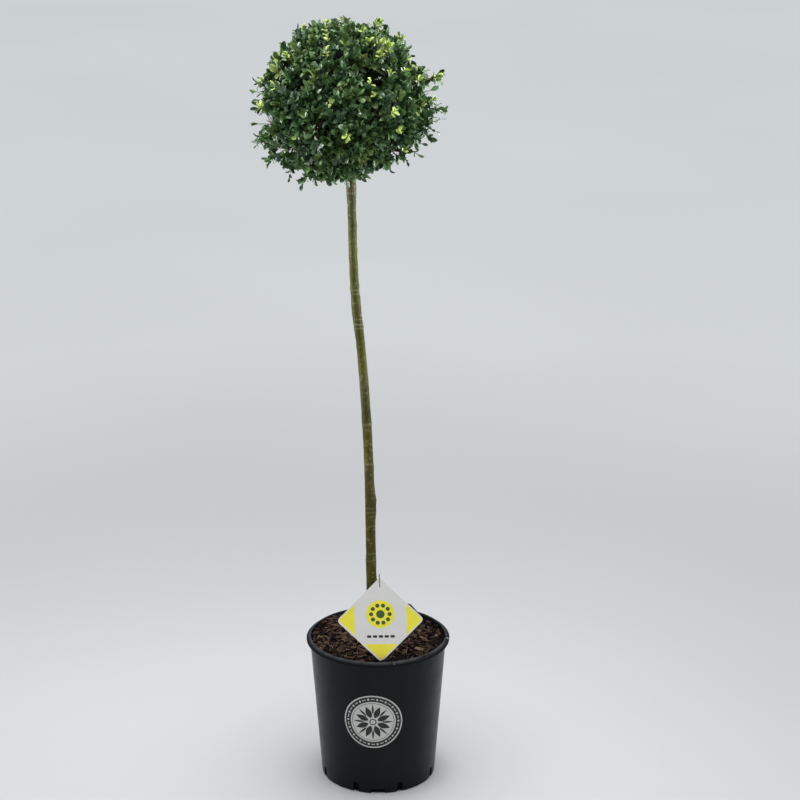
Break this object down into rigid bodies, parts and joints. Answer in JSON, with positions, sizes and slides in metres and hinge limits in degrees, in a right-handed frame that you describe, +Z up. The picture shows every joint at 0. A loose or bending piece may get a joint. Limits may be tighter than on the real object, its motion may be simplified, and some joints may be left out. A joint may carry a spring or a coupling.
{
  "type": "standard lollipop topiary in a nursery pot",
  "caption": "Evergreen grown as a lollipop: one bare upright stem with a clipped ball of small leaves on top, in a round black nursery pot of potting mix with a square card label on a stick.",
  "frame": {"origin": "centre of the pot's flat underside, on the surface that the pot stands on", "axes": "+Z up along the pot and the stem; -Y is the front, with the badge and the label; +X is to the right of someone who looks at the front"},
  "size_m": [0.3176, 0.2842, 1.2902],
  "materials": {
    "pot": "satin black moulded plastic",
    "potting_mix": "moist crumbly bark and peat",
    "bark": "olive bark with pale pores and scars",
    "foliage": "glossy dark leaves",
    "young_foliage": "soft yellow-green new leaves",
    "twigs": "thin dull twigs",
    "label_card": "smooth printed card",
    "label_stick": "grey-green stick",
    "badge_print": "pale printed ornament"
  },
  "bodies": {
    "root": {"pot": "pot", "potting_mix": "potting_mix", "stem": "bark", "head": "foliage", "shoot_top": "foliage", "shoot_right_high": "foliage", "shoot_right_middle": "foliage", "shoot_right_low": "foliage", "shoot_left_high": "foliage", "shoot_left_middle": "foliage", "shoot_left_low": "foliage", "shoot_left_foot": "foliage", "shoot_back_high": "foliage", "shoot_back_left": "foliage", "shoot_back_right": "foliage", "label_card": "label_card", "label_stick": "label_stick"}
  },
  "joints": []
}
